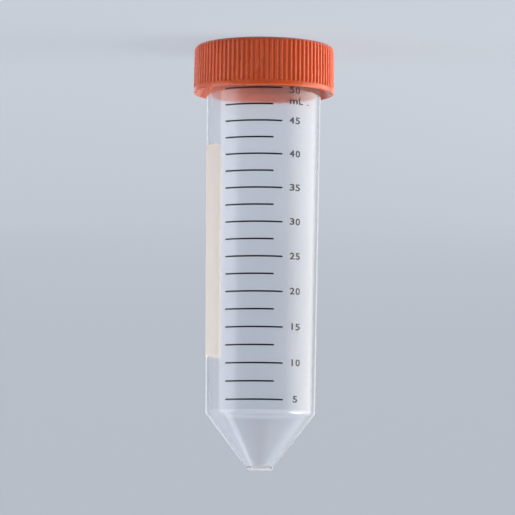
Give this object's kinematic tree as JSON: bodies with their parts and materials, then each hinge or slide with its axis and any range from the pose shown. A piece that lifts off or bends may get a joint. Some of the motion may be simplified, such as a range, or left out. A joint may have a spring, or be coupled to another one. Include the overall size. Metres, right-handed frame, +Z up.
{
  "type": "conical tube",
  "caption": "Lidded laboratory tube with a conical end, flat tip, printed volume scale, writing panel and ribbed screw cap, standing on its cap.",
  "frame": {"origin": "on the floor, at the centre of the flat top of the cap, on which the capped tube stands", "axes": "+Z up, along the axis from the cap to the tip; -Y out of the middle of the printed scale, which is the front; +X to the right as the front is faced, so to the left as the scale is read with the cap up"},
  "size_m": [0.0364, 0.0364, 0.1099],
  "materials": {
    "clear_polypropylene": "natural polypropylene, see-through with a slight milkiness, smooth moulded",
    "orange_polyethylene": "orange polyethylene, satin moulded, ribbed side",
    "black_ink": "screen-printed black ink",
    "white_ink": "screen-printed warm white ink, slightly rough to write on"
  },
  "bodies": {
    "cap": {"cap": "orange_polyethylene"},
    "tube": {"tube": "clear_polypropylene", "scale_marks": "black_ink", "scale_numbers": "black_ink", "writing_panel": "white_ink"}
  },
  "joints": [
    {"name": "tube_lift", "type": "slide", "parent": "cap", "child": "tube", "axis": [0, 0, 1], "range_m": [0, 0.05]}
  ]
}
